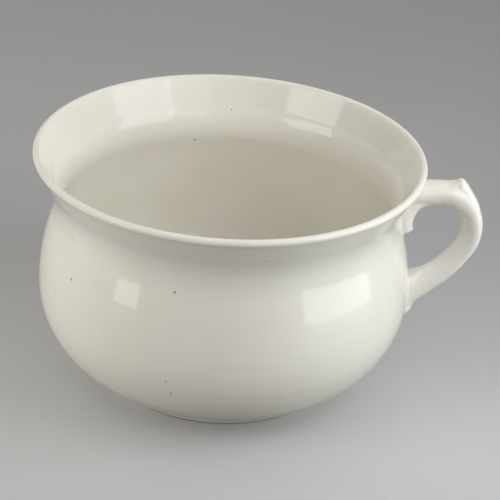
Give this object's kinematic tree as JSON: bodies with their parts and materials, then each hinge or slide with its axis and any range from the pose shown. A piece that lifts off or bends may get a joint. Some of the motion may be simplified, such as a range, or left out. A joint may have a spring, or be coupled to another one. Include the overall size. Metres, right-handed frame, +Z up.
{
  "type": "chamber pot",
  "caption": "Round glazed earthenware pot with a bellied body, flared rolled rim, foot ring and one side handle with a thumb spur, for holding and pouring liquid.",
  "frame": {"origin": "on the bowl's axis, in the plane that the foot ring stands on", "axes": "+Z up along the bowl's axis, +X from the axis towards the handle, +Y across the handle"},
  "size_m": [0.2688, 0.23, 0.1448],
  "materials": {
    "glaze": "glossy",
    "foot_glaze": "glossy",
    "slip": "glossy"
  },
  "bodies": {
    "root": {"bowl": "glaze", "foot_ring": "foot_glaze", "foot_slip": "slip", "handle": "glaze", "upper_seam": "slip", "lower_seam": "slip"}
  },
  "joints": []
}
